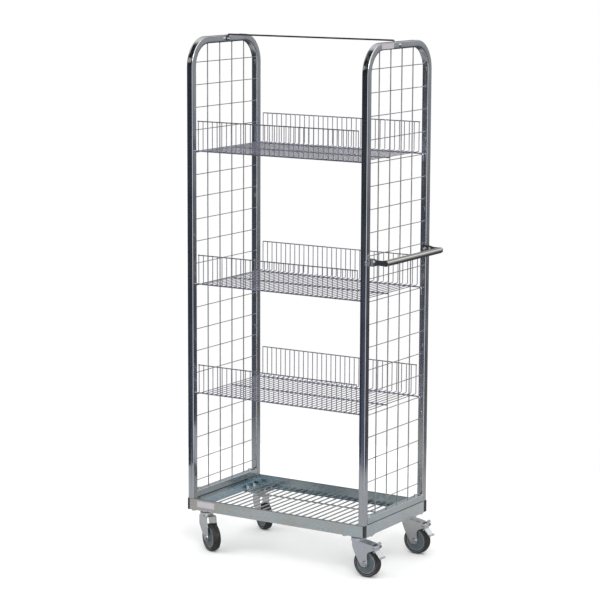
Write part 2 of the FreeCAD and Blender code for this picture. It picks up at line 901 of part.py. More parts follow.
def all_nodes():
    """Every node of the container, by name."""
    nodes = {
        "base_front_rail": long_rail(-1),
        "base_back_rail": long_rail(1),
        "base_left_rail": side_rail(-1),
        "base_right_rail": side_rail(1),
        "base_corner_gussets": corner_gussets(),
        "base_corner_strips": corner_strips(),
        "deck_grid": deck_grid(),
        "left_frame_tube": frame_tube(-1),
        "right_frame_tube": frame_tube(1),
        "left_bottom_rail": bottom_rail(-1),
        "right_bottom_rail": bottom_rail(1),
        "left_side_mesh": side_mesh(-1),
        "right_side_mesh": side_mesh(1),
        "tie_bar": tie_bar(),
        "handle_tube": handle_tube(),
        "handle_brackets": handle_brackets(),
        "handle_end_plugs": handle_end_plugs(),
        "frame_bolts": frame_bolts(),
        "tube_bolts": tube_bolts(),
        "m8_nuts": m8_nuts(),
        "blank_labels": blank_labels(),
    }
    wire_basket = basket()
    for name, row in shelf_rows.items():
        nodes[name] = wire_basket.translated(Vec(basket_shift, 0, basket_floor_z(row)))
    nodes.update(fixed_caster_nodes())
    nodes.update(moving_caster_nodes())
    return nodes


os.makedirs("parts", exist_ok=True)
for node, shape in all_nodes().items():
    shape.exportStep(os.path.join("parts", f"{node}.step"))
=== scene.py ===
import json
import math
import random

import bmesh
import bpy
from mathutils import Matrix, Quaternion, Vector


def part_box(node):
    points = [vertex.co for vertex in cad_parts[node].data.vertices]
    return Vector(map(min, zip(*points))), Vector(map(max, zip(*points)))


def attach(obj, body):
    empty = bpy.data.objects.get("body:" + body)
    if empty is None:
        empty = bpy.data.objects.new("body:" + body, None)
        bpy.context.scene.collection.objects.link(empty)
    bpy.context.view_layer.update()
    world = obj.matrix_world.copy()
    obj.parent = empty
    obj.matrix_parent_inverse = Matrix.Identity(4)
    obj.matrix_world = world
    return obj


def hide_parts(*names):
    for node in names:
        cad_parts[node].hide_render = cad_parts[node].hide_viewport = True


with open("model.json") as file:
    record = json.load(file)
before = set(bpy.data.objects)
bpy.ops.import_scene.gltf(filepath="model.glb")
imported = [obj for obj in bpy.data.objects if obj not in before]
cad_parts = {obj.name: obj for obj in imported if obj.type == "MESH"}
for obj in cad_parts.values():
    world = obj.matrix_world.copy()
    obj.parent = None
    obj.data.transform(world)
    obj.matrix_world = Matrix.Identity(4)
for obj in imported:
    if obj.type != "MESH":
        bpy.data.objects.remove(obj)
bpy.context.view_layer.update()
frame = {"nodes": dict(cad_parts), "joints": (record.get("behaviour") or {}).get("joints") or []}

MM = 0.001
random.seed(11)

# The bent tube of an end frame.
TUBE_HALF = 12.5 * MM
TUBE_BEND = 92.5 * MM

# The base, where its colour changes: the seam under the bottom rails, where shade is painted, and
# the front face.
SEAM_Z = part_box("base_front_rail")[1][2]
BEHIND_FRONT_Y, FRONT_FACE_Y = -0.218, -0.2215
STRAW_FROM_X, STRAW_FULL_X = -0.22, -0.35
BACK_UPRIGHT_FROM_Y, BACK_UPRIGHT_Y = 0.10, 0.19

# A wire basket.
FLOOR_WIRES, FLOOR_PITCH = 34, 20.0 * MM
FLOOR_RADIUS, RIM_RADIUS, SUPPORT_RADIUS = 1.5 * MM, 2.0 * MM, 2.5 * MM
FLOOR_DROP = 105.5 * MM
BASKET_HALF_DEPTH = 211.5 * MM
RIM_HALF_LENGTH = 331.5 * MM
HOOKED_SUPPORT_Y = 190.0 * MM
FLOOR_BEND, HOOK_BEND = 5.0 * MM, 7.0 * MM
WELD_DEPTH = 0.3 * MM

# The mesh of an end frame.
CROSS_WIRES, CROSS_PITCH, LOWEST_CROSS_Z = 20, 80.0 * MM, 254.0 * MM
CROSS_RADIUS, UPRIGHT_RADIUS = 1.5 * MM, 2.0 * MM
UPRIGHT_WIRES, UPRIGHT_PITCH = 4, 78.0 * MM
INNER_BEND = 80.0 * MM

# The deck.
DECK_WIRES, DECK_PITCH = 24, 28.0 * MM
DECK_RADIUS = 2.5 * MM
LONG_WIRE_Y = 110.0 * MM
DECK_END_WELD = 13.0 * MM


# ---------------------------------------------------------------- node helpers
def rgba(value):
    """A colour input: a socket as it is, or three numbers with full alpha."""
    return value if isinstance(value, bpy.types.NodeSocket) else (*value, 1.0)


class Graph:
    """A small builder for one node tree."""

    def __init__(self, tree):
        self.tree = tree
        tree.nodes.clear()

    def add(self, kind, inputs=None, **settings):
        node = self.tree.nodes.new(kind)
        for key, value in settings.items():
            setattr(node, key, value)
        for key, value in (inputs or {}).items():
            if isinstance(value, bpy.types.NodeSocket):
                self.tree.links.new(value, node.inputs[key])
            else:
                node.inputs[key].default_value = value
        return node

    def position(self):
        return self.add("ShaderNodeNewGeometry").outputs["Position"]

    def split(self, vector):
        """The x, y and z of a vector."""
        return self.add("ShaderNodeSeparateXYZ", {0: vector}).outputs[:3]

    def joined(self, x, y, z):
        return self.add("ShaderNodeCombineXYZ", {0: x, 1: y, 2: z}).outputs[0]

    def vector(self, operation, a, b=None):
        inputs = {0: a} if b is None else {0: a, 1: b}
        return self.add("ShaderNodeVectorMath", inputs, operation=operation).outputs[0]

    def measure(self, operation, a, b=None):
        """A vector operation that gives one number."""
        inputs = {0: a} if b is None else {0: a, 1: b}
        node = self.add("ShaderNodeVectorMath", inputs, operation=operation)
        return node.outputs["Value"]

    def noise(self, vector, scale, detail=3.0, rough=0.55):
        node = self.add("ShaderNodeTexNoise", {
            "Vector": vector, "Scale": scale, "Detail": detail, "Roughness": rough,
        })
        return node.outputs["Fac"]

    def remap(self, value, low, high, to_low, to_high, **settings):
        node = self.add("ShaderNodeMapRange", {
            0: value, 1: low, 2: high, 3: to_low, 4: to_high,
        }, **settings)
        return node.outputs[0]

    def ramp(self, value, low, high):
        """From 0 at low to 1 at high, easing at both."""
        return self.remap(value, low, high, 0.0, 1.0, interpolation_type="SMOOTHSTEP")

    def math(self, operation, a, b=0.0):
        return self.add("ShaderNodeMath", {0: a, 1: b}, operation=operation).outputs[0]

    def mix(self, factor, a, b):
        """From colour a to colour b."""
        inputs = {0: factor, 6: rgba(a), 7: rgba(b)}
        return self.add("ShaderNodeMix", inputs, data_type="RGBA").outputs[2]


class Finish(Graph):
    """The node tree of one material."""

    def __init__(self, name):
        self.material = bpy.data.materials.new(name)
        self.material.use_nodes = True
        super().__init__(self.material.node_tree)

    def surface(self, color, metallic, roughness, bumps, edge=0.0, coat=0.0, specular=0.5,
                crown=None):
        """Ends the material: chained bumps (height, strength, distance) over softened edges."""
        normal = None
        if edge:
            normal = self.add("ShaderNodeBevel", {"Radius": edge}, samples=4).outputs[0]
        if crown is not None:
            normal = self.vector("NORMALIZE", self.vector("ADD", normal, crown))
        for height, strength, distance in bumps:
            inputs = {"Height": height, "Strength": strength, "Distance": distance}
            if normal is not None:
                inputs["Normal"] = normal
            normal = self.add("ShaderNodeBump", inputs).outputs[0]
        inputs = {
            "Base Color": color,
            "Metallic": metallic,
            "Roughness": roughness,
            "Coat Weight": coat,
            "Coat Roughness": 0.15,
            "Specular IOR Level": specular,
        }
        if normal is not None:
            inputs["Normal"] = normal
        shader = self.add("ShaderNodeBsdfPrincipled", inputs).outputs[0]
        self.add("ShaderNodeOutputMaterial", {"Surface": shader})
        return self.material


# ---------------------------------------------------------------- materials
STRAW = (0.62, 0.56, 0.44)
FRONT_STRAW = (0.66, 0.59, 0.51)
# Painted shade for the crease where the bottom rails sit on the base.
SEAM_SHADE = (0.07, 0.065, 0.06)
CROWN_LEAN = 0.38


def tube_crown(graph):
    """How far the normal leans out near the corners of the bent tubes, whose faces are crowned."""
    low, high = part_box("right_frame_tube")
    centre_x = (low[0] + high[0]) / 2.0
    bend_y, bend_z = (outer - TUBE_HALF - TUBE_BEND for outer in high[1:3])
    x, y, z = graph.split(graph.position())
    side_x = graph.math("MULTIPLY", graph.math("SIGN", x), centre_x)
    past_y = graph.math("MAXIMUM", graph.math("SUBTRACT", graph.math("ABSOLUTE", y), bend_y), 0.0)
    past_y = graph.math("MULTIPLY", graph.math("SIGN", y), past_y)
    past_z = graph.math("MAXIMUM", graph.math("SUBTRACT", z, bend_z), 0.0)
    spoke = graph.joined(0.0, past_y, past_z)
    outwards = graph.vector("NORMALIZE", spoke)

    def lean(offset):
        share = graph.math("DIVIDE", offset, TUBE_HALF)
        steep = graph.math("POWER", graph.math("ABSOLUTE", share), 3.0)
        return graph.math("MULTIPLY", steep,
                          graph.math("MULTIPLY", graph.math("SIGN", share), CROWN_LEAN))

    lean_x = lean(graph.math("SUBTRACT", x, side_x))
    lean_out = lean(graph.math("SUBTRACT", graph.measure("LENGTH", spoke), TUBE_BEND))
    turned = graph.add("ShaderNodeVectorMath", {0: outwards, "Scale": lean_out}, operation="SCALE")
    return graph.vector("ADD", graph.joined(lean_x, 0.0, 0.0), turned.outputs[0])


def zinc(name, light, dark, blue, rough, edge=0.0, grain=0.05, drawn=(1.0, 1.0, 1.0), straw=0.3,
         streaky=0.04, crowned=False, front_straw=0.0, seam=False):
    """Bright zinc plate: cloudy tone, faint blue and straw tints, drawn lines and a fine grain.

    drawn stretches the lines along an axis, streaky roughens them, front_straw warms the left end
    of the front face and seam paints shade into the joint between the base and the bottom rails.
    """
    graph = Finish(name)
    place = graph.position()
    x, y, z = graph.split(place)
    drawn_place = graph.vector("MULTIPLY", place, drawn)
    cloud = graph.noise(place, 9.0, detail=4.0, rough=0.6)
    color = graph.mix(graph.remap(cloud, 0.3, 0.7, 0.0, 1.0), dark, light)
    tint = graph.remap(graph.noise(place, 4.3, detail=2.0), 0.45, 0.68, 0.0, 0.6)
    color = graph.mix(tint, color, blue)
    if front_straw:
        on_front = graph.remap(y, BEHIND_FRONT_Y, FRONT_FACE_Y, 0.0, 1.0)
        leftwards = graph.remap(x, STRAW_FROM_X, STRAW_FULL_X, 0.0, front_straw)
        color = graph.mix(graph.math("MULTIPLY", on_front, leftwards), color, FRONT_STRAW)
    warm = graph.remap(graph.noise(place, 6.1, detail=2.0, rough=0.4), 0.52, 0.72, 0.0, straw)
    color = graph.mix(warm, color, STRAW)
    # A dark line painted along the seam: painted shade in the crease between the base and the
    # bottom rails.
    if seam:
        off_seam = graph.math("ABSOLUTE", graph.math("SUBTRACT", z, SEAM_Z))
        color = graph.mix(graph.remap(off_seam, 1.0 * MM, 2.2 * MM, 0.75, 0.0), color, SEAM_SHADE)
    streak = graph.noise(drawn_place, 150.0, detail=3.0, rough=0.5)
    color = graph.mix(graph.remap(streak, 0.3, 0.7, 0.0, 0.25), color, dark)
    fine = graph.noise(place, 700.0, detail=2.0, rough=0.6)
    wave = graph.noise(drawn_place, 20.0, detail=1.0, rough=0.4)
    roughness = graph.math(
        "ADD",
        graph.remap(cloud, 0.25, 0.75, rough - 0.03, rough + 0.05),
        graph.remap(streak, 0.45, 0.7, -0.02, streaky),
    )
    crown = None
    if crowned:
        crown = tube_crown(graph)
        duller = graph.remap(y, BACK_UPRIGHT_FROM_Y, BACK_UPRIGHT_Y, 0.0, 0.16)
        roughness = graph.math("ADD", roughness, duller)
    bumps = [(wave, 0.08, 0.8 * MM), (streak, 0.03, 0.1 * MM), (fine, grain, 0.04 * MM)]
    return graph.surface(color, 1.0, roughness, bumps, edge, crown=crown)


def wire_zinc(name, light, dark, rough):
    """Plated wire: drawn lines are too fine to see, so only tone and roughness vary."""
    graph = Finish(name)
    place = graph.position()
    tone = graph.remap(graph.noise(place, 22.0), 0.35, 0.65, 0.0, 1.0)
    color = graph.mix(tone, dark, light)
    grain = graph.noise(place, 1400.0, detail=2.0)
    roughness = graph.remap(graph.noise(place, 60.0), 0.3, 0.7, rough - 0.07, rough + 0.09)
    return graph.surface(color, 1.0, roughness, [(grain, 0.10, 0.1 * MM)])


def plastic(name, base, worn, rough, edge=0.0, grain_scale=700.0, grain=0.2, coat=0.0):
    """Moulded plastic: fine grain, with scuffs that are lighter and rougher."""
    graph = Finish(name)
    place = graph.position()
    scuff = graph.remap(graph.noise(place, 85.0, detail=6.0, rough=0.7), 0.50, 0.78, 0.0, 1.0)
    color = graph.mix(scuff, base, worn)
    roughness = graph.remap(scuff, 0.0, 1.0, rough, rough + 0.18)
    texture = graph.noise(place, grain_scale, rough=0.6)
    return graph.surface(color, 0.0, roughness, [(texture, grain, 0.2 * MM)], edge, coat)


def rubber(name):
    """Tyre rubber: dark, dusty where it meets the floor, with a fine moulded grain."""
    graph = Finish(name)
    place = graph.position()
    height = graph.split(place)[2]
    dust = graph.remap(graph.noise(place, 60.0, detail=5.0, rough=0.65), 0.42, 0.75, 0.0, 0.5)
    cover = graph.math("MAXIMUM", dust, graph.remap(height, 0.0, 30.0 * MM, 0.5, 0.0))
    color = graph.mix(cover, (0.012, 0.012, 0.014), (0.085, 0.076, 0.068))
    roughness = graph.remap(cover, 0.0, 0.6, 0.48, 0.75)
    scuffs = graph.noise(place, 240.0, detail=4.0, rough=0.6)
    grain = graph.noise(place, 1100.0, rough=0.6)
    bumps = [(scuffs, 0.12, 0.4 * MM), (grain, 0.25, 0.2 * MM)]
    return graph.surface(color, 0.0, roughness, bumps, specular=0.35)


ALONG_X, ALONG_Y, ALONG_Z = (0.03, 1.0, 1.0), (1.0, 0.03, 1.0), (1.0, 1.0, 0.02)

TUBE = zinc(
    "zinc_tube_finish", (0.62, 0.63, 0.635), (0.48, 0.49, 0.505), (0.46, 0.52, 0.62), rough=0.08,
    edge=0.6 * MM, grain=0.012, drawn=ALONG_Z, straw=0.2, streaky=0.14, crowned=True,
)
SHEET = zinc(
    "zinc_sheet_finish", (0.74, 0.765, 0.77), (0.60, 0.645, 0.665), (0.52, 0.63, 0.71), rough=0.26,
    edge=0.6 * MM, grain=0.03, drawn=ALONG_X, straw=0.5, front_straw=0.75, seam=True,
)
END_SHEET = zinc(
    "zinc_end_sheet_finish", (0.72, 0.75, 0.765), (0.60, 0.64, 0.66), (0.52, 0.62, 0.70),
    rough=0.24, edge=0.6 * MM, grain=0.02, drawn=ALONG_Y, straw=0.25, seam=True,
)
# A darker, bluer copy of the end sheet for the left rail: painted shade, for faces in view that lie
# in shade.
SHADED_END_SHEET = zinc(
    "zinc_shaded_end_finish", (0.58, 0.66, 0.69), (0.48, 0.56, 0.60), (0.42, 0.53, 0.61),
    rough=0.22, edge=0.6 * MM, grain=0.02, drawn=ALONG_Y, straw=0.1, seam=True,
)
# A darker, bluer copy of the sheet for the back rail: painted shade, for faces in view that lie in
# shade.
SHADED_BACK_SHEET = zinc(
    "zinc_shaded_back_finish", (0.53, 0.61, 0.64), (0.43, 0.51, 0.55), (0.38, 0.50, 0.58),
    rough=0.22, edge=0.6 * MM, grain=0.02, drawn=ALONG_X, straw=0.15, seam=True,
)
CROSS_TUBE = zinc(
    "zinc_cross_tube_finish", (0.68, 0.72, 0.73), (0.52, 0.57, 0.60), (0.46, 0.56, 0.64),
    rough=0.22, edge=0.6 * MM, grain=0.03, drawn=ALONG_Y, seam=True,
)
PRESSED = zinc(
    "zinc_pressed_finish", (0.80, 0.805, 0.81), (0.62, 0.63, 0.64), (0.60, 0.64, 0.74),
    rough=0.22, edge=0.8 * MM, grain=0.10, straw=0.15,
)
FASTENER = zinc(
    "fastener_finish", (0.62, 0.62, 0.63), (0.46, 0.47, 0.49), (0.46, 0.50, 0.58),
    rough=0.24, edge=0.4 * MM,
)
POLISHED = zinc(
    "polished_tube_finish", (0.69, 0.67, 0.62), (0.56, 0.54, 0.50), (0.54, 0.55, 0.58),
    rough=0.10, grain=0.02, drawn=ALONG_Y,
)
BRACKET = zinc(
    "dark_bracket_finish", (0.34, 0.34, 0.34), (0.20, 0.20, 0.21), (0.24, 0.26, 0.32),
    rough=0.28, edge=0.5 * MM, grain=0.15, straw=0.1,
)
WELD = zinc(
    "weld_bead_finish", (0.50, 0.50, 0.51), (0.34, 0.35, 0.37), (0.40, 0.43, 0.50),
    rough=0.42, grain=0.2,
)
WIRE = wire_zinc("zinc_wire_finish", (0.48, 0.48, 0.475), (0.31, 0.31, 0.31), rough=0.32)
BASKET_WIRE = wire_zinc("basket_wire_finish", (0.47, 0.465, 0.55), (0.30, 0.295, 0.37), rough=0.30)
DECK_WIRE = wire_zinc("deck_wire_finish", (0.50, 0.51, 0.51), (0.34, 0.35, 0.36), rough=0.32)
DARK_ROD = wire_zinc("dark_rod_finish", (0.16, 0.14, 0.14), (0.09, 0.08, 0.085), rough=0.36)
BLACK_PLASTIC = plastic(
    "black_plastic_finish", (0.016, 0.016, 0.018), (0.07, 0.07, 0.072), rough=0.42, edge=0.4 * MM,
)
HUB_PLASTIC = plastic(
    "hub_plastic_finish", (0.068, 0.086, 0.098), (0.14, 0.165, 0.18), rough=0.45, edge=0.4 * MM,
)
RIM_PLASTIC = plastic(
    "hub_rim_finish", (0.22, 0.235, 0.25), (0.30, 0.31, 0.32), rough=0.40, edge=0.4 * MM,
)
# Near-black plastic in the hub's ring groove: painted shade in the recess.
SHADED_GROOVE_PLASTIC = plastic("hub_groove_shade_finish", (0.006, 0.006, 0.007), (0.02, 0.02, 0.02), rough=0.6)
LABEL = plastic(
    "blank_label_finish", (0.40, 0.38, 0.41), (0.34, 0.33, 0.36), rough=0.35,
    grain_scale=300.0, grain=0.05, coat=0.3,
)
RUBBER = rubber("tyre_rubber_finish")

FINISH_BY_NAME = {
    "deck_grid": DECK_WIRE,
    "tie_bar": DARK_ROD,
    "handle_tube": POLISHED,
    "handle_brackets": BRACKET,
    "blank_labels": LABEL,
    "caster_bearing_balls": POLISHED,
    "left_bottom_rail": CROSS_TUBE,
    "right_bottom_rail": CROSS_TUBE,
    "base_left_rail": SHADED_END_SHEET,
    "base_right_rail": END_SHEET,
    "base_back_rail": SHADED_BACK_SHEET,
    "base_corner_strips": BLACK_PLASTIC,
    "handle_end_plugs": BLACK_PLASTIC,
}
FINISH_BY_ENDING = {
    "_frame_tube": TUBE, "_side_mesh": WIRE, "_tyre": RUBBER, "_hub": HUB_PLASTIC,
    "_fork": PRESSED, "_pedal": PRESSED, "_bolts": FASTENER, "_nuts": FASTENER,
    "_axle": FASTENER, "_axle_nut": FASTENER, "_sleeve": FASTENER, "_pin": FASTENER,
    "_kingpins": FASTENER,
}


def finish_for(node):
    """The finish of a CAD node, by its name."""
    if node in FINISH_BY_NAME:
        return FINISH_BY_NAME[node]
    for ending, material in FINISH_BY_ENDING.items():
        if node.endswith(ending):
            return material
    return BASKET_WIRE if node.startswith("shelf_") else SHEET


for node_name, node in frame["nodes"].items():
    node.data.materials.clear()
    node.data.materials.append(finish_for(node_name))


# ---------------------------------------------------------------- mesh helpers
def add_piece(name, build, body, materials, replaced=(), smooth_angle=math.radians(35.0)):
    """Turns a finished build into a piece that rides on its body and stands for CAD nodes."""
    mesh = bpy.data.meshes.new(name)
    bmesh.ops.recalc_face_normals(build, faces=build.faces)
    build.to_mesh(mesh)
    build.free()
    for material in materials:
        mesh.materials.append(material)
    piece = bpy.data.objects.new(name, mesh)
    bpy.context.scene.collection.objects.link(piece)
    mesh.shade_smooth()
    mesh.set_sharp_from_angle(angle=smooth_angle)
    if replaced:
        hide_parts(*replaced)
    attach(piece, body)


def turns(count):
    """Equal steps around a circle."""
    return [2.0 * math.pi * k / count for k in range(count)]


def side_vectors(along):
    """Two unit vectors across a direction."""
    nearly_upright = 0.9
    across = Vector((0.0, 0.0, 1.0)) if abs(along.z) < nearly_upright else Vector((1.0, 0.0, 0.0))
    first = along.cross(across).normalized()
    return first, along.cross(first).normalized()


def rounded_path(points, radius, steps=6):
    """The points, with each inner corner replaced by an arc."""
    path = [points[0]]
    for before, corner, after in zip(points, points[1:], points[2:]):
        back = (before - corner).normalized()
        forth = (after - corner).normalized()
        half = back.angle(forth) / 2.0
        centre = corner + (back + forth).normalized() * (radius / math.sin(half))
        spoke = corner + back * (radius / math.tan(half)) - centre
        axis = spoke.cross(-back).normalized()
        sweep = math.pi - 2.0 * half
        for k in range(steps + 1):
            path.append(centre + Matrix.Rotation(sweep * k / steps, 3, axis) @ spoke)
    path.append(points[-1])
    return path


def add_rod(build, path, radius, sides=12):
    """A round bar along a path, its ends blunted."""
    blunt, end_radius = radius * 0.35, radius * 0.65
    stations = []
    for i, point in enumerate(path):
        along = (path[min(i + 1, len(path) - 1)] - path[max(i - 1, 0)]).normalized()
        stations.append((point, along, radius))
    first, first_along, _ = stations[0]
    last, last_along, _ = stations[-1]
    stations[0] = (first + first_along * blunt, first_along, radius)
    stations[-1] = (last - last_along * blunt, last_along, radius)
    stations.insert(0, (first, first_along, end_radius))
    stations.append((last, last_along, end_radius))
    side, _ = side_vectors(first_along)
    rings = []
    for point, along, size in stations:
        side = (side - along * side.dot(along)).normalized()
        other = along.cross(side)
        rings.append([
            build.verts.new(point + (side * math.cos(turn) + other * math.sin(turn)) * size)
            for turn in turns(sides)
        ])
    for near, far in zip(rings, rings[1:]):
        for k in range(sides):
            after = (k + 1) % sides
            build.faces.new((near[k], near[after], far[after], far[k]))
    build.faces.new(rings[0])
    build.faces.new(rings[-1])


def add_nugget(build, place, size):
    """A small lumpy weld nugget, of the given half sizes."""
    rows, columns, lumpy = 4, 8, 0.14
    wobble = [1.0 + random.uniform(-lumpy, lumpy) for _ in range(columns)]
    rings = []
    for i in range(1, rows):
        polar = math.pi * i / rows
        rings.append([
            build.verts.new(place + Vector((
                size[0] * math.sin(polar) * swell * math.cos(turn),
                size[1] * math.sin(polar) * swell * math.sin(turn),
                size[2] * math.cos(polar),
            )))
            for turn, swell in zip(turns(columns), wobble)
        ])
    top = build.verts.new(place + Vector((0.0, 0.0, size[2])))
    bottom = build.verts.new(place - Vector((0.0, 0.0, size[2])))
    for k in range(columns):
        after = (k + 1) % columns
        build.faces.new((top, rings[0][k], rings[0][after]))
        build.faces.new((bottom, rings[-1][after], rings[-1][k]))
        for near, far in zip(rings, rings[1:]):
            build.faces.new((near[k], far[k], far[after], near[after]))


def add_bead(build, start, end, size):
    """A run of overlapping weld ripples between two points."""
    pitch = size * 0.9
    count = max(3, int((end - start).length / pitch))
    for k in range(count):
        place = start.lerp(end, (k + 0.5) / count)
        swell = size * random.uniform(0.85, 1.1)
        add_nugget(build, place, (swell, swell, swell))


def spread(count, pitch):
    """Evenly pitched places about zero."""
    return [(i - (count - 1) / 2.0) * pitch for i in range(count)]


# ---------------------------------------------------------------- wire work
def build_basket(level):
    """One wire basket: bent floor wires, rims and hooked supports, with a nugget at each weld."""
    low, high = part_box(f"shelf_{level}")
    rim_z = high[2] - RIM_RADIUS
    floor_z = rim_z - FLOOR_DROP
    middle_x = (low[0] + high[0]) / 2.0
    rim_y = BASKET_HALF_DEPTH + FLOOR_RADIUS + RIM_RADIUS - WELD_DEPTH
    support_z = floor_z - FLOOR_RADIUS - SUPPORT_RADIUS + WELD_DEPTH
    floor_weld = (2.0 * MM, 2.2 * MM, 1.0 * MM)
    rim_weld = (2.0 * MM, 0.9 * MM, 1.9 * MM)
    build = bmesh.new()
    for x in (middle_x + place for place in spread(FLOOR_WIRES, FLOOR_PITCH)):
        points = [
            Vector((x, -BASKET_HALF_DEPTH, high[2])), Vector((x, -BASKET_HALF_DEPTH, floor_z)),
            Vector((x, BASKET_HALF_DEPTH, floor_z)), Vector((x, BASKET_HALF_DEPTH, high[2])),
        ]
        add_rod(build, rounded_path(points, FLOOR_BEND), FLOOR_RADIUS)
        for y in (-HOOKED_SUPPORT_Y, 0.0, HOOKED_SUPPORT_Y):
            add_nugget(build, Vector((x, y, floor_z - FLOOR_RADIUS)), floor_weld)
        for face in (-1, 1):
            y = face * (BASKET_HALF_DEPTH + FLOOR_RADIUS)
            add_nugget(build, Vector((x, y, rim_z)), rim_weld)
    rim_from, rim_to = middle_x - RIM_HALF_LENGTH, middle_x + RIM_HALF_LENGTH
    hook_from, hook_to = low[0] + SUPPORT_RADIUS, high[0] - SUPPORT_RADIUS
    for face in (-1, 1):
        y = face * rim_y
        add_rod(build, [Vector((rim_from, y, rim_z)), Vector((rim_to, y, rim_z))], RIM_RADIUS)
        y = face * HOOKED_SUPPORT_Y
        points = [
            Vector((hook_from, y, low[2])), Vector((hook_from, y, support_z)),
            Vector((hook_to, y, support_z)), Vector((hook_to, y, low[2])),
        ]
        add_rod(build, rounded_path(points, HOOK_BEND), SUPPORT_RADIUS)
    ends = [Vector((rim_from, 0.0, support_z)), Vector((rim_to, 0.0, support_z))]
    add_rod(build, ends, SUPPORT_RADIUS)
    add_piece(f"basket_{level}_wires", build, f"basket_{level}", [BASKET_WIRE], [f"shelf_{level}"])


def build_side_mesh(side, end):
    """The mesh of one end frame, with welds where wires cross and where they meet the tube."""
    low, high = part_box(f"{side}_side_mesh")
    if end > 0:
        cross_x, upright_x = low[0] + CROSS_RADIUS, high[0] - UPRIGHT_RADIUS
    else:
        cross_x, upright_x = high[0] - CROSS_RADIUS, low[0] + UPRIGHT_RADIUS
    half_width = high[1]
    bend_start = high[2] - INNER_BEND
    weld_x = (cross_x + upright_x) / 2.0 - end * 0.4 * MM
    crossing_weld = (1.0 * MM, 2.1 * MM, 2.0 * MM)
    cross_end_weld = (2.2 * MM, 1.6 * MM, 2.2 * MM)
    upright_end_weld = (3.0 * MM, 3.0 * MM, 1.8 * MM)
    upright_places = spread(UPRIGHT_WIRES, UPRIGHT_PITCH)
    build = bmesh.new()
    for row in range(CROSS_WIRES):
        z = LOWEST_CROSS_Z + CROSS_PITCH * row
        reach = half_width
        if z > bend_start:
            reach += math.sqrt(INNER_BEND ** 2 - (z - bend_start) ** 2) - INNER_BEND
        add_rod(build, [Vector((cross_x, -reach, z)), Vector((cross_x, reach, z))], CROSS_RADIUS)
        for y in upright_places:
            add_nugget(build, Vector((weld_x, y, z)), crossing_weld)
        for face in (-1, 1):
            y = face * (reach - 0.6 * MM)
            add_nugget(build, Vector((cross_x, y, z)), cross_end_weld)
    for y in upright_places:
        ends = [Vector((upright_x, y, low[2])), Vector((upright_x, y, high[2]))]
        add_rod(build, ends, UPRIGHT_RADIUS)
        for z in (low[2] + 0.8 * MM, high[2] - 0.8 * MM):
            add_nugget(build, Vector((upright_x, y, z)), upright_end_weld)
    add_piece(f"{side}_mesh_wires", build, "base", [WIRE], [f"{side}_side_mesh"])


def build_deck():
    """The deck wires, with a nugget at each crossing and at each end."""
    low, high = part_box("deck_grid")
    top_z, low_z = high[2] - DECK_RADIUS, low[2] + DECK_RADIUS
    crossing_weld = (3.2 * MM, 3.4 * MM, 1.4 * MM)
    end_weld = (3.4 * MM, 4.5 * MM, 0.6 * MM)
    build = bmesh.new()
    for x in spread(DECK_WIRES, DECK_PITCH):
        add_rod(build, [Vector((x, low[1], top_z)), Vector((x, high[1], top_z))], DECK_RADIUS)
        for y in (-LONG_WIRE_Y, LONG_WIRE_Y):
            add_nugget(build, Vector((x, y, top_z - DECK_RADIUS)), crossing_weld)
        for y in (low[1] + DECK_END_WELD, high[1] - DECK_END_WELD):
            add_nugget(build, Vector((x, y, top_z - DECK_RADIUS + end_weld[2])), end_weld)
    for y in (-LONG_WIRE_Y, LONG_WIRE_Y):
        add_rod(build, [Vector((low[0], y, low_z)), Vector((high[0], y, low_z))], DECK_RADIUS)
    add_piece("deck_wires", build, "base", [DECK_WIRE], ["deck_grid"])


for basket_level in ("bottom", "middle", "top"):
    build_basket(basket_level)
build_side_mesh("left", -1)
build_side_mesh("right", 1)
build_deck()


# ---------------------------------------------------------------- wheels
HUB_SLOT, GROOVE_SLOT, RIM_SLOT = 0, 1, 2


def arc_points(centre, radius, start_degrees, end_degrees, steps):
    """Profile points on an arc: (distance from the axle, offset along it)."""
    points = []
    for k in range(steps + 1):
        turn = math.radians(start_degrees + (end_degrees - start_degrees) * k / steps)
        points.append((centre[0] + radius * math.cos(turn), centre[1] + radius * math.sin(turn)))
    return points


def mirrored_profile(half):
    """A closed profile from its half with positive offsets, inner point first."""
    whole = list(half)
    for i in range(len(half) - 1, -1, -1):
        radius, offset, _ = half[i]
        whole.append((radius, -offset, half[max(i - 1, 0)][2]))
    return whole


def lathe(half, centre, axle, segments=120):
    """A ring about the axle, from half a profile of (radius, offset, material slot) in mm."""
    profile = mirrored_profile(half)
    build = bmesh.new()
    out, side = side_vectors(axle)
    rings = []
    for turn in turns(segments):
        spoke = out * math.cos(turn) + side * math.sin(turn)
        rings.append([build.verts.new(centre + (spoke * r + axle * a) * MM) for r, a, _ in profile])
    for near, far in zip(rings, rings[1:] + rings[:1]):
        for i, (_, _, slot) in enumerate(profile):
            j = (i + 1) % len(profile)
            face = build.faces.new((near[i], near[j], far[j], far[i]))
            face.material_index = slot
    return build


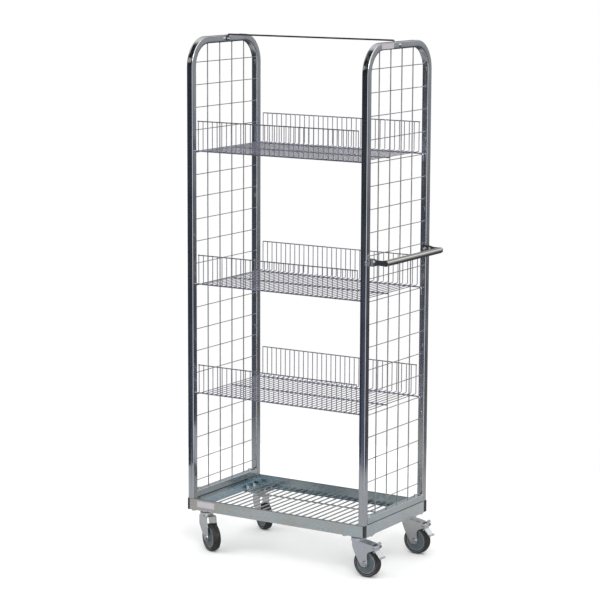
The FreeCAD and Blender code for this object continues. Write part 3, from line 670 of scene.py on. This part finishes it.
def build_wheel(corner):
    """A tyre with round shoulders and parting lines, and a plastic centre with a ring groove."""
    name = f"wheel_{corner}_roll"
    joint = next(joint for joint in frame["joints"] if joint["name"] == name)
    centre = Vector(joint["pos_m"])
    axle = Vector(joint["axis"]).normalized()
    tread = [
        (44.0, 14.0), (44.7, 15.0), *arc_points((46.2, 12.6), 2.4, 88.0, 30.0, 5),
        (48.9, 12.2), (49.35, 9.6), (49.2, 9.2), (49.2, 8.8), (49.7, 8.4), (50.0, 5.0),
        (50.0, 0.35), (50.0, 0.2),
    ]
    build = lathe([(r, a, 0) for r, a in tread], centre, axle)
    add_piece(
        f"{corner}_tyre_tread", build, f"wheel_{corner}", [RUBBER], [f"caster_{corner}_tyre"],
    )
    web = [
        (7.55, 17.0, HUB_SLOT), (12.9, 17.0, HUB_SLOT), (13.8, 16.2, HUB_SLOT),
        (14.6, 12.6, HUB_SLOT), (15.6, 12.0, HUB_SLOT), (24.0, 12.0, HUB_SLOT),
        (24.3, 12.25, HUB_SLOT), (25.3, 12.25, HUB_SLOT), (25.6, 12.0, HUB_SLOT),
        (36.2, 12.0, RIM_SLOT), (37.8, 12.0, RIM_SLOT), (38.3, 11.4, GROOVE_SLOT),
        (38.6, 8.0, GROOVE_SLOT), (42.0, 8.0, GROOVE_SLOT), (42.4, 12.4, RIM_SLOT),
        (42.9, 13.0, RIM_SLOT), (43.7, 13.0, RIM_SLOT), (44.0, 12.6, HUB_SLOT),
    ]
    add_piece(
        f"{corner}_wheel_centre", lathe(web, centre, axle), f"wheel_{corner}",
        [HUB_PLASTIC, SHADED_GROOVE_PLASTIC, RIM_PLASTIC], [f"caster_{corner}_hub"], math.radians(28.0),
    )


for wheel_corner in ("fl", "fr", "bl", "br"):
    build_wheel(wheel_corner)


# ---------------------------------------------------------------- welds
def frame_welds(side, end):
    """Beads where the feet of an end frame meet its bottom rail."""
    low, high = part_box(f"{side}_bottom_rail")
    inner_x, outer_x = (low[0], high[0]) if end > 0 else (high[0], low[0])
    size = 1.5 * MM
    inset = 3.0 * MM
    sunk_y, sunk_x = 0.4 * MM, 0.2 * MM
    build = bmesh.new()
    for y in (low[1] + sunk_y, high[1] - sunk_y):
        for x in (inner_x + end * sunk_x, outer_x - end * sunk_x):
            foot, top = Vector((x, y, low[2] + inset)), Vector((x, y, high[2] - inset))
            add_bead(build, foot, top, size)
        start = Vector((inner_x + end * inset, y, high[2]))
        finish = Vector((outer_x - end * inset, y, high[2]))
        add_bead(build, start, finish, size)
    add_piece(f"{side}_frame_welds", build, "base", [WELD])


frame_welds("left", -1)
frame_welds("right", 1)


# ---------------------------------------------------------------- floor, light and camera
def floor_disc():
    """A pale round floor under the container, greyer in reflections."""
    graph = Finish("floor_finish")
    tone = graph.remap(graph.noise(graph.position(), 3.0), 0.3, 0.7, 0.0, 1.0)
    color = graph.mix(tone, (0.90, 0.90, 0.90), (0.93, 0.93, 0.93))
    reflected = graph.add("ShaderNodeLightPath").outputs["Is Glossy Ray"]
    color = graph.mix(reflected, color, (0.40, 0.405, 0.405))
    mesh = bpy.data.meshes.new("floor")
    mesh.materials.append(graph.surface(color, 0.0, 0.8, [], specular=0.1))
    disc = bmesh.new()
    bmesh.ops.create_circle(disc, cap_ends=True, segments=96, radius=1.7)
    disc.to_mesh(mesh)
    disc.free()
    floor = bpy.data.objects.new("floor", mesh)
    floor.location = (0.0, 0.0, -0.5 * MM)
    bpy.context.scene.collection.objects.link(floor)


def soft_light(name, place, aim, size, power):
    """A square soft box at place, turned to aim."""
    light = bpy.data.lights.new(name, "AREA")
    light.shape = "SQUARE"
    light.size = size
    light.energy = power
    holder = bpy.data.objects.new(name, light)
    holder.location = place
    holder.rotation_euler = (Vector(aim) - Vector(place)).to_track_quat("-Z", "Y").to_euler()
    bpy.context.scene.collection.objects.link(holder)
    return holder


def studio_world():
    """White to the camera and to matt surfaces; soft panels and dark gaps to shiny ones."""
    world = bpy.data.worlds.new("studio")
    bpy.context.scene.world = world
    world.use_nodes = True
    graph = Graph(world.node_tree)
    direction = graph.add("ShaderNodeTexCoord").outputs["Generated"]
    east, north, height = graph.split(direction)

    def panels(base, *rows):
        """Lays panels over base: direction, cosines where each starts and is full, and tone."""
        for aim, start, full, tone in rows:
            cosine = graph.measure("DOT_PRODUCT", direction, Vector(aim).normalized())
            base = graph.mix(graph.ramp(cosine, start, full), base, tone)
        return base

    base = graph.mix(graph.ramp(height, 0.0, 0.75), (0.22, 0.235, 0.26), (0.95, 0.95, 0.95))
    base = panels(
        base,
        ((-0.12, 0.86, 0.5), 0.90, 0.985, (0.42, 0.415, 0.40)),
        ((0.44, 0.86, 0.25), 0.955, 0.985, (1.9, 1.9, 1.9)),
        ((-0.55, -0.83, 0.0), 0.62, 0.88, (0.034, 0.040, 0.050)),
        ((0.45, -0.15, 0.87), 0.72, 0.92, (1.8, 1.8, 1.8)),
    )
    # A dark arc overhead, which gives the bent tubes their dark line.
    arc_east = -0.485
    off_arc = graph.math("ABSOLUTE", graph.math("SUBTRACT", east, arc_east))
    arc = graph.math("MULTIPLY", graph.ramp(off_arc, 0.17, 0.10), graph.ramp(north, 0.35, 0.0))
    arc = graph.math("MULTIPLY", arc, graph.ramp(height, 0.0, 0.2))
    base = graph.mix(arc, base, (0.02, 0.02, 0.022))
    base = panels(base, ((-0.62, -0.72, 0.32), 0.985, 0.997, (0.55, 0.56, 0.54)))
    base = graph.mix(graph.ramp(height, -0.03, -0.14), base, (0.046, 0.053, 0.066))
    back = graph.mix(graph.ramp(height, -0.04, -0.17), (0.46, 0.475, 0.50), (0.085, 0.085, 0.10))
    base = panels(
        base,
        ((-0.42, -0.87, -0.26), 0.991, 0.998, (0.12, 0.145, 0.27)),
        ((0.5, -0.85, -0.12), 0.80, 0.93, (1.2, 1.2, 1.2)),
        ((0.55, 0.83, -0.1), 0.80, 0.97, back),
    )
    paths = graph.add("ShaderNodeLightPath")
    seen = graph.mix(paths.outputs["Is Glossy Ray"], (1.12, 1.12, 1.12), base)
    seen = graph.mix(paths.outputs["Is Camera Ray"], seen, (1.0, 1.0, 1.0))
    background = graph.add("ShaderNodeBackground", {"Color": seen, "Strength": 1.0})
    graph.add("ShaderNodeOutputWorld", {"Surface": background.outputs[0]})


def front_camera():
    """The camera stands in front of the handle end, a little above the top bar."""
    camera = bpy.data.cameras.new("camera")
    camera.lens = 138.42
    camera.sensor_width = 36.0
    camera.clip_end = 60.0
    holder = bpy.data.objects.new("camera", camera)
    holder.location = (4.3105, -6.9518, 2.2934)
    forward = Vector((-0.5227, 0.83639, -0.16502))
    roll = Quaternion((0.0, 0.0, 1.0), 0.0042)
    holder.rotation_euler = (forward.to_track_quat("-Z", "Y") @ roll).to_euler()
    bpy.context.scene.collection.objects.link(holder)
    bpy.context.scene.camera = holder


floor_disc()
studio_world()
MIDDLE = (0.0, 0.0, 0.9)
soft_light("key", (3.0, -3.5, 4.2), MIDDLE, size=2.2, power=110.0)
fill = soft_light("fill", (-3.5, -2.5, 3.0), MIDDLE, size=2.0, power=35.0)
fill.visible_glossy = False
front_camera()
bpy.context.scene.view_settings.view_transform = "Standard"
